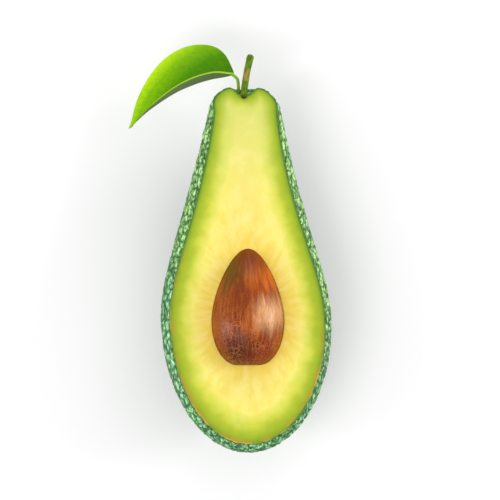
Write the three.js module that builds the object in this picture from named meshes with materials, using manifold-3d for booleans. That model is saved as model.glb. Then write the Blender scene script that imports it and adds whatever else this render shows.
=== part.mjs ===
// Half of a ripe long-necked avocado with its seed, stem and one leaf, lying on its back with the cut face up.
// Millimetres, +Z up. The origin is the middle of the small flat spot that the fruit rests on, +Y runs from the
// blossom end to the stem end, and +X is to the right when the cut face is seen from above.
//
// Everything is first shaped in the fruit's own frame: Y runs along the fruit from 0 at the blossom end, and the
// knife's cut is the plane Z = 0, with the kept half below it. The group at the end tips that frame onto the table.
import * as THREE from "three";
import { mergeVertices } from "three/addons/utils/BufferGeometryUtils.js";
import Module from "manifold-3d";

const wasm = await Module();
wasm.setup();

// The fruit
const BELLY_RADIUS = 34.6;
const BELLY_HEIGHT = 53; // along the fruit, from the blossom end
const NECK_RADIUS = 15;
const NECK_TOP = 137.2;
const CREST_RADIUS = 5.8; // the ring of the shoulder round the stem's hollow
const CREST_HEIGHT = 146.9;
const HOLLOW_FLOOR = 143.3;
const BACK_ROUNDNESS = 0.95; // depth over width, behind the widest line
const BACK_LEAN = 0.2; // how far the back's fullest part sits towards the stem, per millimetre of depth
const FRONT_ROUNDNESS = 0.46; // in front of it, where the knife went through
const PEEL = 1.0;
const GAP = 0.3; // between pieces that touch

// The seed
const SEED_RADIUS = 14.8;
const SEED_BELLY = 17.5; // from its blunt base
const SEED_LENGTH = 47.2;
const SEED_BASE = new THREE.Vector3(0.8, 35.2, -2.5);

// The stem, rooted in the flesh at the bottom of the hollow
const STEM_RADIUS = 1.5;
const STEM_LENGTH = 18.6;
const STEM_FOOT = new THREE.Vector3(-0.9, 142, 0.1);
const STEM_TIP = new THREE.Vector3(2.2, 160.3, -1.6);

// The leaf
const LEAF_HALF_WIDTH = 14.4;
const LEAF_THICKNESS = 0.6;
const PETIOLE_RADIUS = 0.6;

// How the half lies on the table
const REST_TILT = -4; // degrees about X; the stem end drops
const REST_POINT = 65; // along the fruit
const FLAT_DEPTH = 0.3; // how much the peel flattens where it rests

// Mesh density
const ROUND_SEGMENTS = 44;
const STEPS_PER_CURVE = 10;

// ---- solids and geometries ----

function toSolid(geometry) {
  const bare = new THREE.BufferGeometry();
  bare.setAttribute("position", geometry.getAttribute("position"));
  bare.setIndex(geometry.index);
  const merged = mergeVertices(bare, 1e-4);
  const corners = merged.index.array;
  const kept = [];
  for (let i = 0; i < corners.length; i += 3) {
    const [a, b, c] = [corners[i], corners[i + 1], corners[i + 2]];
    if (a !== b && b !== c && c !== a) kept.push(a, b, c);
  }
  return new wasm.Manifold(
    new wasm.Mesh({
      numProp: 3,
      vertProperties: new Float32Array(merged.getAttribute("position").array),
      triVerts: new Uint32Array(kept),
    }),
  );
}

function toGeometry(solid) {
  const mesh = solid.getMesh();
  const geometry = new THREE.BufferGeometry();
  geometry.setAttribute("position", new THREE.BufferAttribute(mesh.vertProperties, 3));
  geometry.setIndex(new THREE.BufferAttribute(mesh.triVerts, 1));
  geometry.computeVertexNormals();
  return geometry;
}

// Moves every vertex by what reshape(point) does to it.
function reshaped(geometry, reshape) {
  const position = geometry.getAttribute("position");
  const point = new THREE.Vector3();
  for (let i = 0; i < position.count; i += 1) {
    point.fromBufferAttribute(position, i);
    reshape(point);
    position.setXYZ(i, point.x, point.y, point.z);
  }
  return geometry;
}

// A closed solid of revolution about Y whose vertices are shared, so that its normals are smooth everywhere.
function turned(outlinePoints, segments) {
  const lathe = new THREE.LatheGeometry(outlinePoints, segments);
  return toGeometry(toSolid(lathe));
}

// The same surface, this far outside itself, or inside if the distance is negative.
function offset(geometry, distance) {
  const grown = geometry.clone();
  grown.computeVertexNormals();
  const normal = grown.getAttribute("normal");
  const position = grown.getAttribute("position");
  for (let i = 0; i < position.count; i += 1) {
    position.setXYZ(
      i,
      position.getX(i) + normal.getX(i) * distance,
      position.getY(i) + normal.getY(i) * distance,
      position.getZ(i) + normal.getZ(i) * distance,
    );
  }
  return grown;
}

// A block that holds everything in front of the knife's cut.
function aboveTheCut() {
  const block = new THREE.BoxGeometry(200, 400, 100);
  block.translate(0, 70, 50);
  return toSolid(block);
}

// ---- the fruit ----

function fruitOutline() {
  const outline = new THREE.Path();
  outline.absellipse(0, BELLY_HEIGHT, BELLY_RADIUS, BELLY_HEIGHT, -Math.PI / 2, 0, false);
  outline.bezierCurveTo(BELLY_RADIUS, 71.7, 26, 85.5, NECK_RADIUS, NECK_TOP);
  outline.bezierCurveTo(NECK_RADIUS - 0.9, 142, 9.6, CREST_HEIGHT, CREST_RADIUS, CREST_HEIGHT);
  outline.bezierCurveTo(3.6, CREST_HEIGHT, 2.8, HOLLOW_FLOOR, 0, HOLLOW_FLOOR);
  return outline;
}

// The fruit's middle line sways a little sideways, and runs a few millimetres below the cut. It comes up to the cut
// at the stem's hollow, so that the knife goes through the middle of it.
const nearTheStem = (y) => THREE.MathUtils.smoothstep(y / CREST_HEIGHT, 0.925, 0.98);
const sway = (y) => 0.6 + 0.9 * Math.cos((Math.PI * y) / 115) - 0.6 * nearTheStem(y);
function sink(y) {
  const share = y / CREST_HEIGHT;
  return 5.2 + 5.2 * share * (1 - share) - 2.9 * share ** 4 - 1.8 * nearTheStem(y);
}

function fruitSurface() {
  const body = turned(fruitOutline().getPoints(STEPS_PER_CURVE), ROUND_SEGMENTS);
  return reshaped(body, (point) => {
    const behind = Math.max(0, -point.z) * Math.sin((Math.PI * point.y) / CREST_HEIGHT);
    point.x += sway(point.y);
    point.z = point.z * (point.z < 0 ? BACK_ROUNDNESS : FRONT_ROUNDNESS) - sink(point.y);
    point.y += BACK_LEAN * behind;
  });
}

// ---- the seed ----

function seedSurface() {
  const outline = new THREE.Path();
  outline.moveTo(0, 0);
  outline.lineTo(5, 0);
  outline.bezierCurveTo(10.5, 0.2, SEED_RADIUS, 8, SEED_RADIUS, SEED_BELLY);
  outline.bezierCurveTo(SEED_RADIUS, 29, 6.2, SEED_LENGTH, 0, SEED_LENGTH);
  return turned(outline.getSpacedPoints(20), 26).translate(SEED_BASE.x, SEED_BASE.y, SEED_BASE.z);
}

// ---- the stem ----

const stemLine = new THREE.QuadraticBezierCurve3(
  STEM_FOOT,
  new THREE.Vector3(-0.5, 150.5, -0.3),
  STEM_TIP,
);

function stemSurface() {
  const outline = new THREE.Path();
  outline.moveTo(0, 0);
  outline.lineTo(STEM_RADIUS, 0);
  outline.bezierCurveTo(STEM_RADIUS, 5, STEM_RADIUS - 0.1, 12, STEM_RADIUS - 0.05, STEM_LENGTH - 3);
  outline.bezierCurveTo(STEM_RADIUS + 0.1, STEM_LENGTH - 1, 1, STEM_LENGTH, 0, STEM_LENGTH);
  return reshaped(turned(outline.getSpacedPoints(20), 14), (point) => {
    const middle = stemLine.getPoint(point.y / STEM_LENGTH);
    const along = stemLine.getTangent(point.y / STEM_LENGTH);
    const turn = new THREE.Quaternion().setFromUnitVectors(new THREE.Vector3(0, 1, 0), along);
    point.y = 0;
    point.applyQuaternion(turn).add(middle);
  });
}

// ---- the leaf ----

const midrib = new THREE.CatmullRomCurve3([
  new THREE.Vector3(-4.8, 152, 0.6),
  new THREE.Vector3(-14.4, 152.1, 2.6),
  new THREE.Vector3(-26.4, 147.6, 2.8),
  new THREE.Vector3(-38.4, 138.8, 0.4),
  new THREE.Vector3(-46.8, 130, -3),
]);

const petioleLine = new THREE.CatmullRomCurve3([
  new THREE.Vector3(-2.7, 144.6, -2.6),
  new THREE.Vector3(-2.9, 147.6, -2.1),
  new THREE.Vector3(-3.6, 150.2, -0.6),
  new THREE.Vector3(-6.2, 152.1, 0.7),
]);

// Half the blade's width at a share of the way from the petiole to the tip.
const bladeHalfWidth = (share) =>
  LEAF_HALF_WIDTH * Math.pow(Math.sin(Math.PI * Math.pow(share, 0.7)), 1.2) + 0.35;

// The blade is folded along its midrib like a roof: one side lies nearly flat, and the other hangs. It opens out
// flat where it narrows to the petiole and to the tip.
const FLAT_SIDE_SLOPE = 0.42; // radians below level
const HANGING_SIDE_SLOPE = 1.4;
const FULLY_FOLDED_WIDTH = 4;

function bladeSurface() {
  const blade = new THREE.BoxGeometry(1, 2, 1, 24, 8, 1);
  return reshaped(blade, (point) => {
    const share = point.x + 0.5;
    const middle = midrib.getPoint(share);
    const along = midrib.getTangent(share);
    const sideways = new THREE.Vector3(-along.y, along.x, 0).normalize();
    const halfWidth = bladeHalfWidth(share);
    const fold = Math.min(1, halfWidth / FULLY_FOLDED_WIDTH);
    const slope = fold * (point.y < 0 ? FLAT_SIDE_SLOPE : HANGING_SIDE_SLOPE);
    const reach = Math.abs(point.y) * halfWidth;
    const lift = point.z * LEAF_THICKNESS;
    const across = Math.sign(point.y) * (Math.cos(slope) * reach + Math.sin(slope) * lift);
    const up = -Math.sin(slope) * reach + Math.cos(slope) * lift;
    point.copy(middle).addScaledVector(sideways, across);
    point.z += point.y === 0 ? lift : up;
  });
}

function petioleSurface() {
  const round = new THREE.Shape().absarc(0, 0, PETIOLE_RADIUS, 0, 2 * Math.PI, false);
  const rod = new THREE.ExtrudeGeometry(round, {
    steps: 14,
    curveSegments: 5,
    bevelEnabled: false,
    extrudePath: petioleLine,
  });
  return toGeometry(toSolid(rod));
}

// ---- the pieces ----

const fruit = fruitSurface();
const seed = seedSurface();
const stem = stemSurface();
const petiole = petioleSurface();
const sockets = toSolid(offset(stem, GAP)).add(toSolid(offset(petiole, GAP)));

// Tips the fruit's own frame onto the table: the cut faces up, and the lowest point of the back meets Z = 0.
function layDown() {
  const group = new THREE.Group();
  group.rotation.x = THREE.MathUtils.degToRad(REST_TILT);
  group.updateMatrixWorld();
  const lying = fruit.clone().applyMatrix4(group.matrixWorld);
  lying.computeBoundingBox();
  const restPoint = new THREE.Vector3(sway(REST_POINT), REST_POINT, -sink(REST_POINT) - 32);
  restPoint.applyMatrix4(group.matrixWorld);
  group.position.set(-restPoint.x, -restPoint.y, -lying.boundingBox.min.z - FLAT_DEPTH);
  group.updateMatrixWorld();
  return group;
}

// The table, as a block in the fruit's own frame, which flattens the peel a little where it rests.
function tableUnder(group) {
  const block = new THREE.BoxGeometry(200, 400, 50);
  block.translate(0, 0, -25);
  return toSolid(block.applyMatrix4(group.matrixWorld.clone().invert()));
}

const avocadoHalf = layDown();

function peelSolid() {
  const outside = toSolid(fruit);
  const inside = toSolid(offset(fruit, -PEEL));
  return outside
    .subtract(inside)
    .subtract(aboveTheCut())
    .subtract(tableUnder(avocadoHalf))
    .subtract(sockets);
}

function fleshSolid() {
  return toSolid(offset(fruit, -PEEL - GAP))
    .subtract(aboveTheCut())
    .subtract(toSolid(offset(seed, GAP)))
    .subtract(sockets);
}

function addPiece(name, solid, color, roughness) {
  const material = new THREE.MeshStandardMaterial({ color, roughness, metalness: 0 });
  const piece = new THREE.Mesh(toGeometry(solid), material);
  piece.name = name;
  avocadoHalf.add(piece);
}

addPiece("peel", peelSolid(), 0x3f7a35, 0.4);
addPiece("flesh", fleshSolid(), 0xefe680, 0.45);
addPiece("seed", toSolid(seed), 0x8a4522, 0.35);
addPiece("stem", toSolid(stem), 0x6b7f1e, 0.6);
addPiece("leaf", toSolid(bladeSurface()).add(toSolid(petiole)), 0x5ea30e, 0.4);

export default avocadoHalf;
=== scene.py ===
"""Half of a ripe long-necked avocado with its seed, stem and one leaf, lying with the cut face up.

Each piece is shaped in the fruit's own frame, where Y runs from the blossom end to the stem end and the
knife's cut is the plane Z = 0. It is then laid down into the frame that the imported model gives.
"""

import math

import bpy
from mathutils import Matrix, Vector, noise
from mathutils.bvhtree import BVHTree
from mathutils.kdtree import KDTree


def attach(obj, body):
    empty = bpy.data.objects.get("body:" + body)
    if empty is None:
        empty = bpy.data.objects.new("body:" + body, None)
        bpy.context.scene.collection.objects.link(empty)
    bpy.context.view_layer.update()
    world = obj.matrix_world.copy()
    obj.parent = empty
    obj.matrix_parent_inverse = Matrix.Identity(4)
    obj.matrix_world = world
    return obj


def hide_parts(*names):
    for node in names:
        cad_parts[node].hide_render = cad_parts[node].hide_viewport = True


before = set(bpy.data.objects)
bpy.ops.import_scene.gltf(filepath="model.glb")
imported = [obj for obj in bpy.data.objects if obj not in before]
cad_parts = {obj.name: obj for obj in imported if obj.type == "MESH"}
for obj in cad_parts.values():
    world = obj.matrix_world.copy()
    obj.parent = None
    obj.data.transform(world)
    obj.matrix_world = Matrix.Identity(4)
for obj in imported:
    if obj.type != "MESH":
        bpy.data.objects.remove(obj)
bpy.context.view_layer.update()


# ---- The peel ----
# The leathery skin of the fruit, about 1 mm thick, covered in glossy pebbles with creases between them,
# which are painted dark as shade. It grew round the flesh in one piece, and the knife left its edge in the
# plane of the cut.

MM = 0.001

BELLY_RADIUS = 34.6 * MM
BELLY_HEIGHT = 53 * MM
NECK_RADIUS = 15 * MM
NECK_TOP = 137.2 * MM
SHOULDER_RADIUS = 5.8 * MM
FRUIT_LENGTH = 146.9 * MM
HOLLOW_FLOOR = 143.3 * MM
BACK_ROUNDNESS = 0.95
BACK_LEAN = 0.2
FRONT_ROUNDNESS = 0.46
PEEL_THICKNESS = 1.0 * MM

# How far the stem end drops, and where the fruit's own origin, which is at the blossom end and in the plane
# of the cut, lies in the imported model.
LYING_TILT = math.radians(-4)
LYING_PLACE = Vector((-0.417, -62.163, 43.145)) * MM
LYING_DOWN = Matrix.Translation(LYING_PLACE) @ Matrix.Rotation(LYING_TILT, 4, "X")

PEEL_GRID = 0.5 * MM
CUT_GRID = 0.8 * MM
PEBBLE = Vector((2.2, 3.4, 2.2)) * MM
PEBBLE_HEIGHT = 0.55 * MM
PEBBLE_SEED = 3

# Where the cut edge browns: it is measured in millimetres up the fruit from the resting spot, and half a
# millimetre is added for each one to the right, so that the left side browns further up.
UP_THE_FRUIT = (0.5 / MM, 1 / MM, 0)
UNBROWNED_FROM = 13
BROWNED_TO = -17


def curve_points(start, start_pull, end_pull, end, steps):
    """Points along a cubic curve after its start, each a radius and a height along the fruit."""
    for step in range(1, steps + 1):
        t = step / steps
        yield (
            start * (1 - t) ** 3
            + start_pull * 3 * t * (1 - t) ** 2
            + end_pull * 3 * t * t * (1 - t)
            + end * t**3
        )


def fruit_outline(inset, steps):
    """The fruit's half outline from the blossom end to the stem's hollow, this far inside the skin."""
    belly = Vector((BELLY_RADIUS, BELLY_HEIGHT))
    neck = Vector((NECK_RADIUS, NECK_TOP))
    shoulder = Vector((SHOULDER_RADIUS, FRUIT_LENGTH))
    floor = Vector((0, HOLLOW_FLOOR))
    points = []
    for step in range(2 * steps + 1):
        turn = math.pi / 2 * step / (2 * steps)
        points.append(Vector((BELLY_RADIUS * math.sin(turn), BELLY_HEIGHT * (1 - math.cos(turn)))))
    points += curve_points(
        belly, Vector((BELLY_RADIUS, 71.7 * MM)), Vector((26 * MM, 85.5 * MM)), neck, 2 * steps
    )
    points += curve_points(
        neck,
        Vector((NECK_RADIUS - 0.9 * MM, 142 * MM)),
        Vector((9.6 * MM, FRUIT_LENGTH)),
        shoulder,
        steps,
    )
    points += curve_points(
        shoulder, Vector((3.6 * MM, FRUIT_LENGTH)), Vector((2.8 * MM, HOLLOW_FLOOR)), floor, steps
    )
    inside = []
    for before, point, after in zip(points, points[1:], points[2:]):
        along = (after - before).normalized()
        inside.append(point - Vector((along.y, -along.x)) * inset)
    return inside


def lofted(name, outline, sides):
    """A closed solid along Y: a disc is added at one end, then extruded and resized to the other."""
    bpy.ops.object.select_all(action="DESELECT")
    radius, height = outline[0]
    bpy.ops.mesh.primitive_circle_add(
        vertices=sides,
        radius=radius,
        fill_type="NGON",
        location=(0, height, 0),
        rotation=(math.pi / 2, 0, 0),
    )
    piece = bpy.context.object
    piece.name = name
    bpy.ops.object.transform_apply()
    bpy.ops.object.mode_set(mode="EDIT")
    bpy.ops.mesh.select_all(action="SELECT")
    for next_radius, next_height in outline[1:]:
        bpy.ops.mesh.extrude_region_move(
            TRANSFORM_OT_translate={"value": (0, next_height - height, 0)}
        )
        widening = next_radius / radius
        bpy.ops.transform.resize(
            value=(widening, 1, widening), center_override=(0, next_height, 0)
        )
        radius, height = next_radius, next_height
    bpy.ops.mesh.select_all(action="SELECT")
    bpy.ops.mesh.normals_make_consistent(inside=False)
    bpy.ops.object.mode_set(mode="OBJECT")
    return piece


def smoothstep(low, high, value):
    share = min(1, max(0, (value - low) / (high - low)))
    return share * share * (3 - 2 * share)


def sway(height):
    """How far the fruit's middle line lies to the side."""
    near_the_stem = smoothstep(0.925, 0.98, height / FRUIT_LENGTH)
    return (0.6 + 0.9 * math.cos(math.pi * height / (115 * MM)) - 0.6 * near_the_stem) * MM


def sink(height):
    """How far the fruit's middle line lies below the cut. It comes up to the cut at the stem's hollow."""
    share = height / FRUIT_LENGTH
    near_the_stem = smoothstep(0.925, 0.98, share)
    return (5.2 + 5.2 * share * (1 - share) - 2.9 * share**4 - 1.8 * near_the_stem) * MM


def grown(piece):
    """Gives a straight round solid the fruit's section, its sway, and the lean of its back."""
    for vertex in piece.data.vertices:
        x, y, z = vertex.co
        behind = max(0, -z) * math.sin(math.pi * y / FRUIT_LENGTH)
        roundness = BACK_ROUNDNESS if z < 0 else FRONT_ROUNDNESS
        vertex.co = (x + sway(y), y + BACK_LEAN * behind, z * roundness - sink(y))
    return piece


def finish_with(piece, kind, **settings):
    """Adds a modifier to a piece, and applies it."""
    bpy.ops.object.select_all(action="DESELECT")
    piece.select_set(True)
    bpy.context.view_layer.objects.active = piece
    modifier = piece.modifiers.new(kind.lower(), kind)
    for name, value in settings.items():
        setattr(modifier, name, value)
    bpy.ops.object.modifier_apply(modifier=modifier.name)


def slab(width, length, thickness, cell, middle):
    """A closed block that stands on a grid of square cells round this middle."""
    bpy.ops.object.select_all(action="DESELECT")
    bpy.ops.mesh.primitive_grid_add(
        x_subdivisions=round(width / cell),
        y_subdivisions=round(length / cell),
        size=1,
        location=middle,
    )
    piece = bpy.context.object
    piece.scale = (width, length, 1)
    bpy.ops.object.transform_apply()
    bpy.ops.object.mode_set(mode="EDIT")
    bpy.ops.mesh.select_all(action="SELECT")
    bpy.ops.mesh.extrude_region_move(TRANSFORM_OT_translate={"value": (0, 0, thickness)})
    bpy.ops.mesh.select_all(action="SELECT")
    bpy.ops.mesh.normals_make_consistent(inside=False)
    bpy.ops.object.mode_set(mode="OBJECT")
    return piece


def cut_away(piece, cutter):
    """Cuts one closed solid out of another, and throws the cutter away."""
    finish_with(piece, "BOOLEAN", operation="DIFFERENCE", solver="MANIFOLD", object=cutter)
    bpy.data.objects.remove(cutter)


def in_front_of_the_cut():
    """A block that holds all the knife takes away. Its lower face is a grid, which the cut face keeps."""
    return slab(90 * MM, 160 * MM, 40 * MM, CUT_GRID, Vector((0, 75, 0)) * MM)


def pebble_relief(point):
    """1 on the top of a pebble and 0 in the crease beside it."""
    cell = Vector((point.x / PEBBLE.x, point.y / PEBBLE.y, point.z / PEBBLE.z))
    cell += 0.35 * noise.noise_vector(cell * 0.9)
    (nearest, second, *_), (middle, *_) = noise.voronoi(cell)
    height = 0.72 + 0.28 * noise.noise(middle * 7.3)
    dome = smoothstep(0, 0.4, second - nearest) * (1 - 0.3 * min(1, nearest) ** 2)
    return max(0, dome * height)


def write_attribute(piece, name, values, kind="FLOAT"):
    """Stores a value, or the three parts of a vector, for every vertex."""
    attribute = piece.data.attributes.new(name, kind, "POINT")
    attribute.data.foreach_set("value" if kind == "FLOAT" else "vector", values)


def lay_down(piece):
    """Turns a piece from the fruit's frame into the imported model's, where nothing is under the table."""
    piece.data.transform(LYING_DOWN)
    for vertex in piece.data.vertices:
        vertex.co.z = max(0, vertex.co.z)


def shade(piece, crease=35):
    """Smooth shading, with a sharp edge wherever two faces meet at more than this many degrees."""
    bpy.ops.object.select_all(action="DESELECT")
    piece.select_set(True)
    bpy.context.view_layer.objects.active = piece
    bpy.ops.object.shade_smooth_by_angle(angle=math.radians(crease))


def colour(hex_code):
    """The linear colour that a screen colour stands for."""
    levels = [int(hex_code[start : start + 2], 16) / 255 for start in (1, 3, 5)]
    linear = [((level + 0.055) / 1.055) ** 2.4 if level > 0.04 else level / 12.92 for level in levels]
    return (*linear, 1)


def node(material, kind, inputs=None, stops=(), **settings):
    """Adds a shader node. An input is a constant, or another node's socket, which is linked to it."""
    made = material.node_tree.nodes.new("ShaderNode" + kind)
    for name, value in settings.items():
        setattr(made, name, value)
    for name, value in (inputs or {}).items():
        if isinstance(value, bpy.types.NodeSocket):
            material.node_tree.links.new(value, made.inputs[name])
        else:
            made.inputs[name].default_value = value
    for number, (position, hex_code) in enumerate(stops):
        elements = made.color_ramp.elements
        element = elements[number] if number < 2 else elements.new(position)
        element.position = position
        element.color = colour(hex_code)
    return made


def surface(name, **constants):
    """A new material, with its constants on the shader's own sockets, and its shader."""
    material = bpy.data.materials.new(name)
    material.use_nodes = True
    shader = material.node_tree.nodes["Principled BSDF"]
    for socket, value in constants.items():
        shader.inputs[socket.replace("_", " ")].default_value = value
    return material, shader


def connect(material, socket, shader, name):
    material.node_tree.links.new(socket, shader.inputs[name])


def hand_over(piece, material, cad_node):
    """Gives a piece its material, hides the CAD node that it stands for, and hangs it under the root."""
    piece.data.materials.clear()
    piece.data.materials.append(material)
    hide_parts(cad_node)
    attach(piece, "root")


noise.seed_set(PEBBLE_SEED)
peel = grown(lofted("avocado_peel", fruit_outline(0, 16), 96))
finish_with(peel, "REMESH", mode="VOXEL", voxel_size=PEEL_GRID)
reliefs = [pebble_relief(vertex.co) for vertex in peel.data.vertices]
normals = [vertex.normal.copy() for vertex in peel.data.vertices]
for vertex, normal, relief in zip(peel.data.vertices, normals, reliefs):
    vertex.co -= normal * PEBBLE_HEIGHT * (1 - relief)
write_attribute(peel, "relief", reliefs)
cut_away(peel, in_front_of_the_cut())
inner_wall = grown(lofted("inner_wall", fruit_outline(PEEL_THICKNESS, 16), 96))
inner_tree = BVHTree.FromObject(inner_wall, bpy.context.evaluated_depsgraph_get())
cut_away(peel, inner_wall)
depths = []
for vertex in peel.data.vertices:
    on_the_cut = abs(vertex.co.z) < 0.01 * MM
    reach = PEEL_THICKNESS if on_the_cut else 0.05 * MM
    distance = inner_tree.find_nearest(vertex.co)[3]
    depths.append(1 - min(1, distance / reach))
write_attribute(peel, "depth", depths)
write_attribute(
    peel, "brim", [smoothstep(-9, 0, vertex.co.z / MM) for vertex in peel.data.vertices]
)
lay_down(peel)
shade(peel, 50)

# Avocado skin is glossy green. Its colour is painted dark in its creases as shade and bright on its pebbles
# as highlight, with a pale minty painted sheen near the brim where the skin catches a grazing reflection.
# Its cut edge is dark green outside and olive towards the flesh, and browns low down.
skin, shader = surface("avocado_skin", IOR=1.5)
place = node(skin, "TexCoord").outputs["Object"]
relief = node(skin, "Attribute", attribute_name="relief").outputs["Fac"]
# The pebbles' green is painted dark in the creases as shade and pale on the tops as highlight.
pebble_green_painted_shade_highlight = node(
    skin,
    "ValToRGB",
    {"Fac": relief},
    stops=[(0.0, "#1a5610"), (0.9, "#9acc64"), (0.25, "#307c1c"), (0.6, "#56a632")],
).outputs["Color"]
cloud = node(skin, "TexNoise", {"Vector": place, "Scale": 1 / (14 * MM), "Detail": 3})
darker = node(
    skin, "ValToRGB", {"Fac": cloud.outputs["Fac"]}, stops=[(0.3, "#c2d0b4"), (0.7, "#ffffff")]
)
toned = node(
    skin,
    "MixRGB",
    {"Fac": 1, "Color1": pebble_green_painted_shade_highlight, "Color2": darker.outputs["Color"]},
    blend_type="MULTIPLY",
)
lengthwise = node(
    skin, "Mapping", {"Vector": place, "Scale": (1 / (0.8 * MM), 1 / (1.8 * MM), 1 / (0.8 * MM))}
)
dashes = node(skin, "TexNoise", {"Vector": lengthwise.outputs["Vector"], "Scale": 1, "Detail": 2})
brim = node(skin, "Attribute", attribute_name="brim").outputs["Fac"]
# Below the brim the green is darkened, so the paler green left at the brim is painted sheen.
below_the_brim = node(skin, "MapRange", {"Value": brim, "To Min": 1, "To Max": 0})
toned = node(
    skin,
    "MixRGB",
    {
        "Fac": below_the_brim.outputs["Result"],
        "Color1": toned.outputs["Color"],
        "Color2": colour("#a8c292"),
    },
    blend_type="MULTIPLY",
)
high_up = node(skin, "MapRange", {"Value": relief, "From Min": 0, "From Max": 0.55, "To Min": 0.14})
painted_highlight_dash = node(
    skin, "MapRange", {"Value": dashes.outputs["Fac"], "From Min": 0.4, "From Max": 0.6, "To Min": 0.3}
)
# Painted sheen: pale mint mixed onto the pebble tops near the brim, in bright dashes, where the skin
# catches a grazing reflection.
painted_sheen_strength = node(
    skin, "Math", {0: brim, 1: high_up.outputs["Result"]}, operation="MULTIPLY"
)
painted_sheen_strength = node(
    skin, "Math", {0: painted_sheen_strength.outputs[0], 1: painted_highlight_dash.outputs["Result"]}, operation="MULTIPLY"
)
along_the_fruit = node(skin, "VectorMath", {0: place, 1: UP_THE_FRUIT}, operation="DOT_PRODUCT")
low_down = node(
    skin,
    "MapRange",
    {
        "Value": along_the_fruit.outputs["Value"],
        "From Min": UNBROWNED_FROM,
        "From Max": BROWNED_TO,
    },
)
# The painted sheen's colour, tinted teal low down.
painted_sheen = node(
    skin,
    "MixRGB",
    {"Fac": low_down.outputs["Result"], "Color1": colour("#c4ee9c"), "Color2": colour("#a4e2b0")},
)
toned = node(
    skin,
    "MixRGB",
    {
        "Fac": painted_sheen_strength.outputs[0],
        "Color1": toned.outputs["Color"],
        "Color2": painted_sheen.outputs["Color"],
    },
)
# Painted highlight: short lengthwise dashes stay bright and the green between them is darkened.
painted_highlight_dash_tone = node(
    skin, "ValToRGB", {"Fac": dashes.outputs["Fac"]}, stops=[(0.36, "#7fae78"), (0.6, "#ffffff")]
)
toned = node(
    skin,
    "MixRGB",
    {"Fac": 0.8, "Color1": toned.outputs["Color"], "Color2": painted_highlight_dash_tone.outputs["Color"]},
    blend_type="MULTIPLY",
)
depth = node(skin, "Attribute", attribute_name="depth").outputs["Fac"]
browning = node(skin, "TexNoise", {"Vector": place, "Scale": 1 / (9 * MM), "Detail": 2})
edge_colour = node(
    skin,
    "ValToRGB",
    {"Fac": browning.outputs["Fac"]},
    stops=[(0.4, "#5f8a2a"), (0.68, "#c9a13c"), (0.54, "#8f9a32")],
)
browned = node(
    skin,
    "MixRGB",
    {
        "Fac": low_down.outputs["Result"],
        "Color1": colour("#557f22"),
        "Color2": edge_colour.outputs["Color"],
    },
)
edge_depth = node(
    skin,
    "MapRange",
    {"Value": depth, "From Min": 0.4, "From Max": 0.65},
    interpolation_type="SMOOTHSTEP",
)
edge = node(
    skin,
    "MixRGB",
    {
        "Fac": edge_depth.outputs["Result"],
        "Color1": colour("#2a5a10"),
        "Color2": browned.outputs["Color"],
    },
)
is_edge = node(skin, "MapRange", {"Value": depth, "From Min": 0.01, "From Max": 0.06})
all_over = node(
    skin,
    "MixRGB",
    {
        "Fac": is_edge.outputs["Result"],
        "Color1": toned.outputs["Color"],
        "Color2": edge.outputs["Color"],
    },
)
connect(skin, all_over.outputs["Color"], shader, "Base Color")
roughness = node(
    skin, "MapRange", {"Value": relief, "From Min": 0, "From Max": 0.5, "To Min": 0.85, "To Max": 0.24}
)
connect(skin, roughness.outputs["Result"], shader, "Roughness")
bump = node(
    skin, "Bump", {"Height": dashes.outputs["Fac"], "Strength": 0.6, "Distance": 0.25 * MM}
)
connect(skin, bump.outputs["Normal"], shader, "Normal")
hand_over(peel, skin, "peel")


# ---- The flesh ----
# The firm, buttery flesh that fills the peel, cut flat by the knife, with a hollow that the seed sits in.
# It is grown to the peel all round.

SEED_RADIUS = 14.8 * MM
SEED_BELLY = 17.5 * MM
SEED_LENGTH = 47.2 * MM
SEED_BASE = Vector((0.8, 35.2, -2.5)) * MM
SEED_GAP = 0.04 * MM
FLESH_GAP = 0.03 * MM
RAY_FINENESS = 8
RAY_LENGTH = 8


def seed_outline(gap):
    """The seed's half outline from its blunt base to its tip, this far outside it."""
    shoulder = Vector((SEED_RADIUS, SEED_BELLY))
    points = [Vector((2.5 * MM, 0)), Vector((5 * MM, 0))]
    points += curve_points(
        points[-1], Vector((10.5 * MM, 0.2 * MM)), Vector((SEED_RADIUS, 8 * MM)), shoulder, 16
    )
    points += curve_points(
        shoulder,
        Vector((SEED_RADIUS, 29 * MM)),
        Vector((6.2 * MM, SEED_LENGTH)),
        Vector((0.3 * MM, SEED_LENGTH)),
        28,
    )
    outside = [points[0] - Vector((0, gap))]
    for before, point, after in zip(points, points[1:], points[2:]):
        along = (after - before).normalized()
        outside.append(point + Vector((along.y, -along.x)) * gap)
    return outside + [points[-1] + Vector((0, gap))]


def seed_shape(name, gap, sides):
    piece = lofted(name, seed_outline(gap), sides)
    piece.data.transform(Matrix.Translation(SEED_BASE))
    return piece


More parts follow.
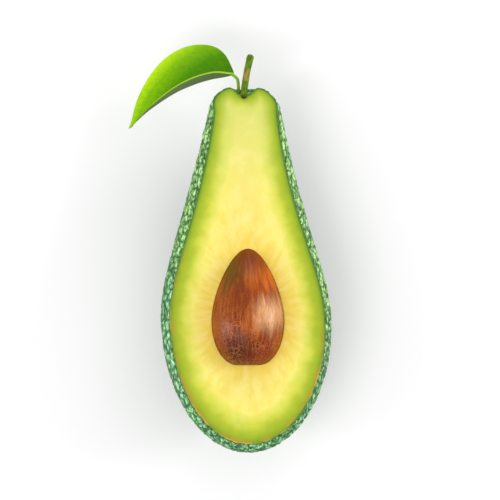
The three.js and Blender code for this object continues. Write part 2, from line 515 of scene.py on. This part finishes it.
flesh = grown(lofted("avocado_flesh", fruit_outline(PEEL_THICKNESS + FLESH_GAP, 16), 120))
cut_away(flesh, in_front_of_the_cut())
cut_away(flesh, seed_shape("seed_hollow", SEED_GAP, 64))
rim_tree = KDTree(len(flesh.data.vertices))
hollow_tree = KDTree(len(flesh.data.vertices))
for face in flesh.data.polygons:
    if face.normal.z > 0.9:
        continue
    for index in face.vertices:
        point = flesh.data.vertices[index].co
        if abs(point.z) < 0.01 * MM:
            beside_it = abs(point.x - SEED_BASE.x) < 1.1 * SEED_RADIUS
            level_with_it = -1 * MM < point.y - SEED_BASE.y < SEED_LENGTH + 1 * MM
            (hollow_tree if beside_it and level_with_it else rim_tree).insert(point, index)
rim_tree.balance()
hollow_tree.balance()
rims, hollows, heights, rays = [], [], [], []
seed_middle = SEED_BASE + Vector((0, SEED_LENGTH / 2, 0))
for vertex in flesh.data.vertices:
    rims.append(rim_tree.find(vertex.co)[2] / MM)
    hollows.append(hollow_tree.find(vertex.co)[2] / MM)
    heights.append(vertex.co.y / MM)
    spoke = (vertex.co - seed_middle) / MM
    away = max(1, math.hypot(spoke.x, spoke.y))
    rays += [RAY_FINENESS * spoke.x / away, RAY_FINENESS * spoke.y / away, away / RAY_LENGTH]
write_attribute(flesh, "rim", rims)
write_attribute(flesh, "hollow", hollows)
write_attribute(flesh, "height", heights)
write_attribute(flesh, "rays", rays, "FLOAT_VECTOR")
lay_down(flesh)
shade(flesh)

# Avocado flesh is green under the peel, and turns through lime to butter yellow inwards. It is a deeper
# gold round the seed, with soft rays and patches there, and it is moist and slightly see-through.
pulp, shader = surface(
    "avocado_flesh",
    Roughness=0.42,
    IOR=1.42,
    Specular_IOR_Level=0.3,
    Subsurface_Weight=0.25,
    Subsurface_Radius=(1.0, 0.8, 0.25),
    Subsurface_Scale=1.5 * MM,
)
place = node(pulp, "TexCoord").outputs["Object"]
rim = node(pulp, "Attribute", attribute_name="rim").outputs["Fac"]
hollow = node(pulp, "Attribute", attribute_name="hollow").outputs["Fac"]
height = node(pulp, "Attribute", attribute_name="height").outputs["Fac"]
wander = node(pulp, "TexNoise", {"Vector": place, "Scale": 1 / (6 * MM), "Detail": 3})
uneven = node(
    pulp,
    "MapRange",
    {"Value": wander.outputs["Fac"], "From Min": 0.2, "From Max": 0.8, "To Min": -1.6, "To Max": 1.6},
)
share_of_way = node(pulp, "MapRange", {"Value": rim, "From Min": 0, "From Max": 3})
shifted = node(
    pulp,
    "Math",
    {0: uneven.outputs["Result"], 1: share_of_way.outputs["Result"], 2: rim},
    operation="MULTIPLY_ADD",
)
thicker_below = node(
    pulp, "MapRange", {"Value": height, "From Min": 4, "From Max": 36, "To Min": 24, "To Max": 16}
)
inwards = node(
    pulp,
    "MapRange",
    {
        "Value": shifted.outputs[0],
        "From Min": 0,
        "From Max": thicker_below.outputs["Result"],
    },
)
from_the_rim = node(
    pulp,
    "ValToRGB",
    {"Fac": inwards.outputs["Result"]},
    stops=[
        (0.0, "#7d9b21"),
        (1.0, "#f0e07a"),
        (0.03, "#8ba722"),
        (0.08, "#9cb426"),
        (0.2, "#b1bf30"),
        (0.36, "#d2d64d"),
        (0.56, "#efe474"),
    ],
)
beside_the_peel = node(
    pulp, "MapRange", {"Value": rim, "From Min": 0.8, "From Max": 1.9, "To Min": 1, "To Max": 0}
)
along_the_fruit = node(pulp, "VectorMath", {0: place, 1: UP_THE_FRUIT}, operation="DOT_PRODUCT")
up_to_the_belly = node(
    pulp,
    "MapRange",
    {
        "Value": along_the_fruit.outputs["Value"],
        "From Min": UNBROWNED_FROM,
        "From Max": BROWNED_TO,
        "To Max": 0.8,
    },
)
browning = node(pulp, "TexNoise", {"Vector": place, "Scale": 1 / (7 * MM), "Detail": 3})
browned_here = node(
    pulp, "MapRange", {"Value": browning.outputs["Fac"], "From Min": 0.4, "From Max": 0.58}
)
brown_edge = node(
    pulp,
    "Math",
    {0: beside_the_peel.outputs["Result"], 1: up_to_the_belly.outputs["Result"]},
    operation="MULTIPLY",
)
brown_edge = node(
    pulp, "Math", {0: brown_edge.outputs[0], 1: browned_here.outputs["Result"]}, operation="MULTIPLY"
)
from_the_rim = node(
    pulp,
    "MixRGB",
    {
        "Fac": brown_edge.outputs[0],
        "Color1": from_the_rim.outputs["Color"],
        "Color2": colour("#b89a30"),
    },
)
by_the_seed = node(
    pulp,
    "MapRange",
    {"Value": hollow, "From Min": 0, "From Max": 9, "To Min": 0.75, "To Max": 0},
    interpolation_type="SMOOTHSTEP",
)
gold = node(
    pulp,
    "MixRGB",
    {
        "Fac": by_the_seed.outputs["Result"],
        "Color1": from_the_rim.outputs["Color"],
        "Color2": colour("#efcb4c"),
    },
)
up_the_neck = node(
    pulp,
    "MapRange",
    {"Value": height, "From Min": 95, "From Max": 143, "To Max": 0.75},
    interpolation_type="SMOOTHSTEP",
)
away_from_the_rim = node(
    pulp,
    "MapRange",
    {"Value": rim, "From Min": 0.5, "From Max": 7},
    interpolation_type="SMOOTHSTEP",
)
in_the_neck = node(
    pulp,
    "Math",
    {0: up_the_neck.outputs["Result"], 1: away_from_the_rim.outputs["Result"]},
    operation="MULTIPLY",
)
greener = node(
    pulp,
    "MixRGB",
    {
        "Fac": in_the_neck.outputs[0],
        "Color1": gold.outputs["Color"],
        "Color2": colour("#d3d776"),
    },
)
rays = node(pulp, "Attribute", attribute_name="rays").outputs["Vector"]
fibres = node(pulp, "TexNoise", {"Vector": rays, "Scale": 1, "Detail": 4, "Roughness": 0.6})
deep_inside = node(pulp, "MapRange", {"Value": rim, "From Min": 3, "From Max": 12})
golden_here = node(
    pulp,
    "MapRange",
    {"Value": fibres.outputs["Fac"], "From Min": 0.52, "From Max": 0.34, "To Max": 0.42},
)
golden_here = node(
    pulp,
    "Math",
    {0: golden_here.outputs["Result"], 1: deep_inside.outputs["Result"]},
    operation="MULTIPLY",
)
round_the_seed = node(
    pulp, "MapRange", {"Value": hollow, "From Min": 6, "From Max": 26, "To Min": 1, "To Max": 0.25}
)
golden_here = node(
    pulp,
    "Math",
    {0: golden_here.outputs[0], 1: round_the_seed.outputs["Result"]},
    operation="MULTIPLY",
)
golden = node(
    pulp,
    "MixRGB",
    {"Fac": golden_here.outputs[0], "Color1": greener.outputs["Color"], "Color2": colour("#e8c540")},
)
creamy_here = node(
    pulp,
    "MapRange",
    {"Value": fibres.outputs["Fac"], "From Min": 0.5, "From Max": 0.66, "To Max": 0.32},
)
creamy_here = node(
    pulp,
    "Math",
    {0: creamy_here.outputs["Result"], 1: deep_inside.outputs["Result"]},
    operation="MULTIPLY",
)
fibred = node(
    pulp,
    "MixRGB",
    {"Fac": creamy_here.outputs[0], "Color1": golden.outputs["Color"], "Color2": colour("#f6eaa2")},
)
connect(pulp, fibred.outputs["Color"], shader, "Base Color")
drag = node(pulp, "TexNoise", {"Vector": place, "Scale": 1 / (2.2 * MM), "Detail": 3})
bump = node(pulp, "Bump", {"Height": drag.outputs["Fac"], "Strength": 0.3, "Distance": 0.12 * MM})
connect(pulp, bump.outputs["Normal"], shader, "Normal")
hand_over(flesh, pulp, "flesh")


# ---- The seed ----
# One big egg-shaped seed in a thin glossy brown coat, flat at its base and pointed towards the stem. It
# sits in the flesh's hollow, where its own shape holds it.

seed = seed_shape("avocado_seed", 0, 96)
finish_with(seed, "SUBSURF", levels=1, render_levels=1)
normals = [vertex.normal.copy() for vertex in seed.data.vertices]
streaks = []
for vertex, normal in zip(seed.data.vertices, normals):
    own = (vertex.co - SEED_BASE) / MM
    lump = noise.noise(vertex.co / (7 * MM)) + 0.4 * noise.noise(vertex.co / (2.5 * MM))
    vertex.co += normal * (lump - 0.8) * 0.08 * MM
    round_it = math.atan2(own.z, own.x)
    streaks += [math.cos(round_it) * 14.8, own.y * 0.13, math.sin(round_it) * 14.8]
write_attribute(seed, "lengthwise", streaks, "FLOAT_VECTOR")
wheres = []
for vertex in seed.data.vertices:
    own = (vertex.co - SEED_BASE) / SEED_RADIUS
    wheres += [own.x, own.y, 0]
write_attribute(seed, "where", wheres, "FLOAT_VECTOR")
lay_down(seed)
shade(seed, 60)

# The seed's coat is a polished chestnut skin. It gives dark and orange streaks from base to tip, a fine
# net of pale veins low down, and a soft broad painted highlight on the right, which the last patch puts
# into the colour. A patch is a place across and up the seed, a radius, a colour and a strength. Places
# and radii are shares of the seed's radius, and the height is a share of its length.
SEED_DRIFT = 0.9
SEED_PATCHES = [
    (-0.55, 0.8, 1.1, "#6d4a08", 0.9),
    (0.1, 0.9, 0.5, "#8a3a10", 0.6),
    (0.4, 0.72, 0.6, "#dc6a10", 0.9),
    (-0.1, 0.6, 0.5, "#8c3206", 0.7),
    (-0.5, 0.5, 0.5, "#8e4008", 0.8),
    (0.05, 0.36, 0.5, "#c9600c", 0.7),
    (-0.8, 0.35, 0.45, "#94480a", 0.8),
    (-0.35, 0.1, 0.8, "#450f04", 0.9),
    (0.45, 0.08, 0.6, "#8c2c0a", 0.8),
    # A painted highlight: a pale broad streak on the right of the seed, where the light falls.
    (0.54, 0.42, 0.74, "#f8bc84", 0.95),
]
coat, shader = surface(
    "seed_coat",
    Roughness=0.5,
    IOR=1.5,
    Specular_IOR_Level=0.1,
    Coat_Weight=0.25,
    Coat_Roughness=0.27,
)
place = node(coat, "TexCoord").outputs["Object"]
along = node(coat, "Attribute", attribute_name="lengthwise").outputs["Vector"]
where = node(coat, "Attribute", attribute_name="where").outputs["Vector"]
streak = node(coat, "TexNoise", {"Vector": along, "Scale": 0.9, "Detail": 6, "Roughness": 0.62})
colour_here = node(
    coat,
    "ValToRGB",
    {"Fac": streak.outputs["Fac"]},
    stops=[(0.3, "#561a02"), (0.74, "#cc6c10"), (0.45, "#8a3602"), (0.58, "#a84c08")],
).outputs["Color"]
drift = node(coat, "TexNoise", {"Vector": along, "Scale": 0.35, "Detail": 4})
drifted = node(
    coat,
    "VectorMath",
    {0: drift.outputs["Color"], 1: (SEED_DRIFT, SEED_DRIFT, 0), 2: where},
    operation="MULTIPLY_ADD",
).outputs["Vector"]
for side, height, radius, tint, strength in SEED_PATCHES:
    across = side + SEED_DRIFT / 2
    up = height * SEED_LENGTH / SEED_RADIUS + SEED_DRIFT / 2
    away = node(coat, "VectorMath", {0: drifted, 1: (across, up, 0)}, operation="DISTANCE")
    share = node(
        coat,
        "MapRange",
        {
            "Value": away.outputs["Value"],
            "From Min": 0,
            "From Max": radius,
            "To Min": strength,
            "To Max": 0,
        },
        interpolation_type="SMOOTHSTEP",
    )
    colour_here = node(
        coat,
        "MixRGB",
        {"Fac": share.outputs["Result"], "Color1": colour_here, "Color2": colour(tint)},
    ).outputs["Color"]
fine = node(coat, "TexNoise", {"Vector": along, "Scale": 2.6, "Detail": 4, "Roughness": 0.7})
fine_tone = node(
    coat, "ValToRGB", {"Fac": fine.outputs["Fac"]}, stops=[(0.35, "#8a7060"), (0.62, "#ffffff")]
)
grained = node(
    coat,
    "MixRGB",
    {"Fac": 0.55, "Color1": colour_here, "Color2": fine_tone.outputs["Color"]},
    blend_type="MULTIPLY",
)
bent = node(coat, "TexNoise", {"Vector": place, "Scale": 1 / (2 * MM), "Detail": 3})
bend = node(
    coat,
    "VectorMath",
    {0: bent.outputs["Color"], 1: (1.8 * MM,) * 3, 2: place},
    operation="MULTIPLY_ADD",
)
cells = node(
    coat,
    "TexVoronoi",
    {"Vector": bend.outputs["Vector"], "Scale": 1 / (1.3 * MM)},
    feature="DISTANCE_TO_EDGE",
)
vein = node(
    coat,
    "MapRange",
    {"Value": cells.outputs["Distance"], "From Min": 0.02, "From Max": 0.11, "To Min": 1, "To Max": 0},
)
clumps = node(coat, "TexNoise", {"Vector": place, "Scale": 1 / (7 * MM), "Detail": 1})
clumped = node(
    coat, "MapRange", {"Value": clumps.outputs["Fac"], "From Min": 0.35, "From Max": 0.65}
)
height = node(coat, "SeparateXYZ", {"Vector": where}).outputs["Y"]
low_down = node(
    coat, "MapRange", {"Value": height, "From Min": 2.4, "From Max": 1.1, "To Max": 0.3}
)
netted = node(
    coat,
    "Math",
    {0: vein.outputs["Result"], 1: low_down.outputs["Result"]},
    operation="MULTIPLY",
)
netted = node(
    coat, "Math", {0: netted.outputs[0], 1: clumped.outputs["Result"]}, operation="MULTIPLY"
)
veined = node(
    coat,
    "MixRGB",
    {"Fac": netted.outputs[0], "Color1": grained.outputs["Color"], "Color2": colour("#ec9c5a")},
)
connect(coat, veined.outputs["Color"], shader, "Base Color")
bump = node(
    coat, "Bump", {"Height": streak.outputs["Fac"], "Strength": 0.35, "Distance": 0.15 * MM}
)
connect(coat, bump.outputs["Normal"], shader, "Normal")
hand_over(seed, coat, "seed")


# ---- The stem ----
# A short green woody stalk, cut off at a rounded end. It is rooted in the bottom of the fruit's hollow.

STEM_RADIUS = 1.5 * MM
STEM_LENGTH = 18.6 * MM
STEM_FOOT = Vector((-0.9, 142, 0.1)) * MM
STEM_BEND = Vector((-0.5, 150.5, -0.3)) * MM
STEM_TIP = Vector((2.2, 160.3, -1.6)) * MM


def stem_line(share):
    """The middle of the stem at a share of its length."""
    return (
        STEM_FOOT * (1 - share) ** 2 + STEM_BEND * 2 * share * (1 - share) + STEM_TIP * share**2
    )


def bent_along(piece, length, line):
    """Bends a straight solid, which runs along Y from 0 to this length, along a line."""
    for vertex in piece.data.vertices:
        share = vertex.co.y / length
        ahead = line(min(1, share + 0.01)) - line(max(0, share - 0.01))
        turn = Vector((0, 1, 0)).rotation_difference(ahead)
        spoke = Vector((vertex.co.x, 0, vertex.co.z))
        spoke.rotate(turn)
        vertex.co = line(share) + spoke
    return piece


stem_steps = 48
outline = [Vector((0.4 * MM, 0))]
for step in range(stem_steps + 1):
    share = step / stem_steps
    past_the_end = max(0, (share - 0.94) / 0.06, (0.05 - share) / 0.05)
    rounding = math.sqrt(max(0.02, 1 - past_the_end**2))
    swelling = 0.8 + 0.14 * smoothstep(0, 0.15, share) + 0.04 * smoothstep(0.75, 0.95, share)
    outline.append(Vector((STEM_RADIUS * swelling * rounding, STEM_LENGTH * share * 0.995 + 0.01 * MM)))
stem = lofted("avocado_stem", outline, 48)
ups = [vertex.co.y / STEM_LENGTH for vertex in stem.data.vertices]
arounds = []
for vertex in stem.data.vertices:
    x, y, z = vertex.co
    round_it = math.atan2(z, x)
    ridge = noise.noise(Vector((math.cos(round_it) * 1.6, y / (9 * MM), math.sin(round_it) * 1.6)))
    ridge += 0.5 * noise.noise(Vector((math.cos(round_it) * 4, y / (4 * MM), math.sin(round_it) * 4)))
    narrowing = 0.97 + 0.05 * ridge
    vertex.co = (x * narrowing, y, z * narrowing)
    arounds += [math.cos(round_it) * 1.4, y / MM * 0.25, math.sin(round_it) * 1.4]
write_attribute(stem, "up", ups)
write_attribute(stem, "lengthwise", arounds, "FLOAT_VECTOR")
bent_along(stem, STEM_LENGTH, stem_line)
lay_down(stem)
shade(stem, 60)

# Green stalk bark gives fine lengthwise streaks, a tan corky scar half way up, and a dark brown foot.
bark, shader = surface("green_stalk_bark", Roughness=0.5, IOR=1.45, Specular_IOR_Level=0.15)
along = node(bark, "Attribute", attribute_name="lengthwise").outputs["Vector"]
up = node(bark, "Attribute", attribute_name="up").outputs["Fac"]
grain = node(bark, "TexNoise", {"Vector": along, "Scale": 1.6, "Detail": 4})
green = node(
    bark,
    "ValToRGB",
    {"Fac": grain.outputs["Fac"]},
    stops=[(0.3, "#3d5606"), (0.7, "#7a9620"), (0.5, "#587710")],
).outputs["Color"]
scar_height = node(
    bark,
    "ValToRGB",
    {"Fac": up},
    stops=[(0.36, "#000000"), (0.7, "#000000"), (0.46, "#ffffff"), (0.6, "#ffffff")],
).outputs["Color"]
scar_patch = node(bark, "TexNoise", {"Vector": along, "Scale": 1.1, "Detail": 3})
scar_edge = node(
    bark, "MapRange", {"Value": scar_patch.outputs["Fac"], "From Min": 0.42, "From Max": 0.55}
)
scar = node(
    bark, "Math", {0: scar_height, 1: scar_edge.outputs["Result"]}, operation="MULTIPLY"
)
scarred = node(
    bark, "MixRGB", {"Fac": scar.outputs[0], "Color1": green, "Color2": colour("#9a8440")}
)
foot = node(bark, "MapRange", {"Value": up, "From Min": 0.13, "From Max": 0.03})
browned = node(
    bark,
    "MixRGB",
    {
        "Fac": foot.outputs["Result"],
        "Color1": scarred.outputs["Color"],
        "Color2": colour("#40340e"),
    },
)
connect(bark, browned.outputs["Color"], shader, "Base Color")
bump = node(bark, "Bump", {"Height": grain.outputs["Fac"], "Strength": 0.5, "Distance": 0.2 * MM})
connect(bark, bump.outputs["Normal"], shader, "Normal")
hand_over(stem, bark, "stem")


# ---- The leaf ----
# One thin waxy leaf on its own short stalk, which grew from the fruit's hollow beside the stem. The blade
# is folded along its midrib: one side lies nearly flat, and the other hangs down towards the fruit.

LEAF_HALF_WIDTH = 14.3 * MM
LEAF_THICKNESS = 0.4 * MM
FLAT_SIDE_SLOPE = 0.42
HANGING_SIDE_SLOPE = 1.48
FULLY_FOLDED_WIDTH = 1.2 * MM
MIDRIB = [
    Vector((-4.8, 152, 0.6)) * MM,
    Vector((-14.4, 152.1, 2.6)) * MM,
    Vector((-26.4, 147.6, 2.8)) * MM,
    Vector((-38.4, 138.8, 0.4)) * MM,
    Vector((-46.8, 130, -3)) * MM,
]
MIDRIB_LENGTH = 49 * MM
PETIOLE = [
    Vector((-2.7, 144.6, -2.6)) * MM,
    Vector((-2.9, 147.6, -2.1)) * MM,
    Vector((-3.6, 150.2, -0.6)) * MM,
    Vector((-6.2, 152.1, 0.7)) * MM,
]
PETIOLE_LENGTH = 9.5 * MM


def through(points, share):
    """The point at a share of the way along a smooth curve through these points."""
    ends = [2 * points[0] - points[1], *points, 2 * points[-1] - points[-2]]
    way = min(max(share, 0), 1) * (len(points) - 1)
    first = min(int(way), len(points) - 2)
    t = way - first
    before, start, end, after = ends[first : first + 4]
    return 0.5 * (
        2 * start
        + (end - before) * t
        + (2 * before - 5 * start + 4 * end - after) * t**2
        + (3 * start - before - 3 * end + after) * t**3
    )


def blade_half_width(share):
    return LEAF_HALF_WIDTH * math.sin(math.pi * share**0.7) ** 1.2 + 0.2 * MM


leaf = slab(1, 2, 1, 1 / 100, Vector((0, 0, -0.5)))
alongs, acrosses, uppers = [], [], []
for vertex in leaf.data.vertices:
    share = min(1, max(0, vertex.co.x + 0.5))
    side = vertex.co.y
    ahead = through(MIDRIB, share + 0.01) - through(MIDRIB, share - 0.01)
    sideways = Vector((-ahead.y, ahead.x, 0)).normalized()
    half_width = blade_half_width(share)
    fold = min(1, half_width / FULLY_FOLDED_WIDTH)
    slope = fold * (FLAT_SIDE_SLOPE if side < 0 else HANGING_SIDE_SLOPE)
    reach = abs(side) * half_width
    lift = vertex.co.z * LEAF_THICKNESS
    alongs.append(share * MIDRIB_LENGTH / MM)
    acrosses.append(math.copysign(reach, side) / MM)
    uppers.append(vertex.co.z + 0.5)
    sway_of_edge = 0.25 * MM * math.sin(share * 19 + 2 * side) * abs(side) ** 3
    across = math.copysign(1, side) * (math.cos(slope) * reach + math.sin(slope) * lift)
    up = -math.sin(slope) * reach + math.cos(slope) * lift
    if side == 0:
        across, up = 0, lift
    vertex.co = through(MIDRIB, share) + sideways * across + Vector((0, 0, up + sway_of_edge))
write_attribute(leaf, "along", alongs)
write_attribute(leaf, "across", acrosses)
write_attribute(leaf, "upper", uppers)

rib_outline = [Vector((0.3 * MM, 0))]
for step in range(60):
    share = step / 60
    rib_outline.append(Vector(((0.4 - 0.3 * share) * MM, MIDRIB_LENGTH * share + 0.01 * MM)))
rib = bent_along(
    lofted("midrib", rib_outline, 12), MIDRIB_LENGTH, lambda share: through(MIDRIB, share)
)
rib.data.transform(Matrix.Translation((0, 0, 0.02 * MM)))
stalk_outline = [Vector((0.3 * MM, 0))]
for step in range(24):
    stalk_outline.append(Vector((0.62 * MM, PETIOLE_LENGTH * step / 24 + 0.01 * MM)))
stalk = bent_along(
    lofted("leaf_stalk", stalk_outline, 16), PETIOLE_LENGTH, lambda share: through(PETIOLE, share)
)
for part, paleness in ((rib, 1), (stalk, 0.6)):
    write_attribute(part, "rib", [paleness] * len(part.data.vertices))
    write_attribute(part, "upper", [1.0] * len(part.data.vertices))
    finish_with(leaf, "BOOLEAN", operation="UNION", solver="MANIFOLD", object=part)
    bpy.data.objects.remove(part)
leaf.name = "avocado_leaf"
lay_down(leaf)
shade(leaf, 50)

# A fresh avocado leaf is waxy. Its green is painted lighter, up to yellow green, towards the far edge of
# the flat side and the tip, where light falls on the curved blade, and deeper by the stalk; the side that
# hangs is painted olive as shade. Its midrib is pale, its side veins hardly show, and it is duller
# underneath.
blade, shader = surface(
    "avocado_leaf", Roughness=0.45, IOR=1.45, Specular_IOR_Level=0.06
)
place = node(blade, "TexCoord").outputs["Object"]
along = node(blade, "Attribute", attribute_name="along").outputs["Fac"]
across = node(blade, "Attribute", attribute_name="across").outputs["Fac"]
upper = node(blade, "Attribute", attribute_name="upper").outputs["Fac"]
rib_here = node(blade, "Attribute", attribute_name="rib").outputs["Fac"]
outwards = node(blade, "Math", {0: across}, operation="ABSOLUTE").outputs[0]
curving = node(blade, "Math", {0: outwards, 1: 0.85}, operation="POWER").outputs[0]
slanted = node(blade, "Math", {0: curving, 1: -0.9, 2: along}, operation="MULTIPLY_ADD")
wobble = node(blade, "TexNoise", {"Vector": place, "Scale": 1 / (6 * MM), "Detail": 1})
wobbled = node(
    blade,
    "Math",
    {0: wobble.outputs["Fac"], 1: 1.6, 2: slanted.outputs[0]},
    operation="MULTIPLY_ADD",
)
between_veins = node(blade, "Math", {0: wobbled.outputs[0], 1: 2.4}, operation="PINGPONG")
side_vein = node(
    blade,
    "MapRange",
    {"Value": between_veins.outputs[0], "From Min": 0.12, "From Max": 0.45, "To Min": 1, "To Max": 0},
)
# Painted light: the green is lighter towards the outer edge of the flat side and the tip, and darker by the
# stalk and the midrib.
tone = node(blade, "MapRange", {"Value": along, "From Min": 0, "From Max": 58})
painted_light_tone = node(
    blade,
    "Math",
    {0: across, 1: -0.042, 2: tone.outputs["Result"]},
    operation="MULTIPLY_ADD",
)
blade_colour_with_painted_light = node(
    blade,
    "ValToRGB",
    {"Fac": painted_light_tone.outputs[0]},
    stops=[(0.0, "#3f7400"), (1.0, "#bee81c"), (0.45, "#4c8a00"), (0.75, "#7eb60c")],
)
speckle = node(
    blade,
    "TexNoise",
    {"Vector": place, "Scale": 1 / (1.6 * MM), "Detail": 4, "Roughness": 0.65},
)
speckle_tone = node(
    blade, "ValToRGB", {"Fac": speckle.outputs["Fac"]}, stops=[(0.35, "#d6e2c0"), (0.6, "#ffffff")]
)
blade_colour_with_painted_light = node(
    blade,
    "MixRGB",
    {"Fac": 0.6, "Color1": blade_colour_with_painted_light.outputs["Color"], "Color2": speckle_tone.outputs["Color"]},
    blend_type="MULTIPLY",
)
vein_strength = node(blade, "Math", {0: side_vein.outputs["Result"], 1: 0.07}, operation="MULTIPLY")
veined = node(
    blade,
    "MixRGB",
    {
        "Fac": vein_strength.outputs[0],
        "Color1": blade_colour_with_painted_light.outputs["Color"],
        "Color2": colour("#8cc022"),
    },
)
# Painted shade: the side that hangs is mixed towards dark olive, as it faces away from the light.
hanging = node(blade, "MapRange", {"Value": across, "From Min": 0, "From Max": 1.5, "To Max": 0.95})
shaded_hanging_side = node(
    blade,
    "MixRGB",
    {"Fac": hanging.outputs["Result"], "Color1": veined.outputs["Color"], "Color2": colour("#4c6c02")},
)
ribbed = node(
    blade,
    "MixRGB",
    {"Fac": rib_here, "Color1": shaded_hanging_side.outputs["Color"], "Color2": colour("#9cc436")},
)
underneath = node(
    blade,
    "MixRGB",
    {"Fac": upper, "Color1": colour("#6f9018"), "Color2": ribbed.outputs["Color"]},
)
connect(blade, underneath.outputs["Color"], shader, "Base Color")
tissue = node(blade, "TexNoise", {"Vector": place, "Scale": 1 / (0.8 * MM), "Detail": 2})
raised = node(
    blade,
    "Math",
    {0: side_vein.outputs["Result"], 1: -0.3, 2: tissue.outputs["Fac"]},
    operation="MULTIPLY_ADD",
)
bump = node(
    blade, "Bump", {"Height": raised.outputs[0], "Strength": 0.4, "Distance": 0.12 * MM}
)
connect(blade, bump.outputs["Normal"], shader, "Normal")
hand_over(leaf, blade, "leaf")


# ---- The table and the light ----
# A plain white table, lit by a pale room, by a soft light on each side, by one from beyond the stem and
# by one from above.

bpy.ops.object.select_all(action="DESELECT")
bpy.ops.mesh.primitive_plane_add(size=6, location=(0, 0, 0))
floor = bpy.context.object
floor.name = "table_top"
white, shader = surface("white_board", Roughness=0.9)
shader.inputs["Base Color"].default_value = (0.94, 0.94, 0.94, 1)
floor.data.materials.append(white)

room = bpy.data.worlds.new("pale_room")
room.use_nodes = True
room.node_tree.nodes["Background"].inputs["Color"].default_value = (1, 1, 1, 1)
room.node_tree.nodes["Background"].inputs["Strength"].default_value = 0.62
bpy.context.scene.world = room


def soft_light(name, place, width, length, watts):
    """A rectangular light that faces the fruit."""
    bpy.ops.object.light_add(type="AREA", location=place)
    lamp = bpy.context.object
    lamp.name = name
    lamp.data.shape = "RECTANGLE"
    lamp.data.size = width
    lamp.data.size_y = length
    lamp.data.energy = watts
    lamp.rotation_euler = (Vector((0, 0, 0.02)) - Vector(place)).to_track_quat("-Z", "Y").to_euler()


soft_light("right_light", (0.75, 0.1, 0.32), 0.2, 0.5, 3.1)
soft_light("left_light", (-0.6, -0.1, 0.1), 0.12, 0.9, 2.8)
soft_light("far_light", (0.1, 0.9, 0.5), 0.8, 0.3, 2)
soft_light("top_light", (-0.5, -0.4, 1.1), 0.6, 0.6, 3.8)

bpy.context.scene.view_settings.view_transform = "Standard"


# ---- The camera ----
# It looks down on the cut face, a little from the blossom end and from the left, with a long lens.

VIEW_MIDDLE = Vector((1.6, 81.2, 0)) * MM
VIEW_WIDTH = 200 * MM
VIEW_DISTANCE = 1.2
VIEW_FROM = Vector((-math.tan(math.radians(5)), -math.tan(math.radians(4)), 1)).normalized()

bpy.ops.object.camera_add()
camera = bpy.context.object
camera.name = "camera"
camera.data.lens = camera.data.sensor_width * VIEW_DISTANCE / VIEW_WIDTH
backwards = LYING_DOWN.to_3x3() @ VIEW_FROM
upwards = LYING_DOWN.to_3x3() @ Vector((0, 1, 0))
rightwards = upwards.cross(backwards).normalized()
upwards = backwards.cross(rightwards)
camera.location = LYING_DOWN @ VIEW_MIDDLE + backwards * VIEW_DISTANCE
camera.rotation_euler = Matrix((rightwards, upwards, backwards)).transposed().to_euler()
camera.data.dof.use_dof = False
bpy.context.scene.camera = camera
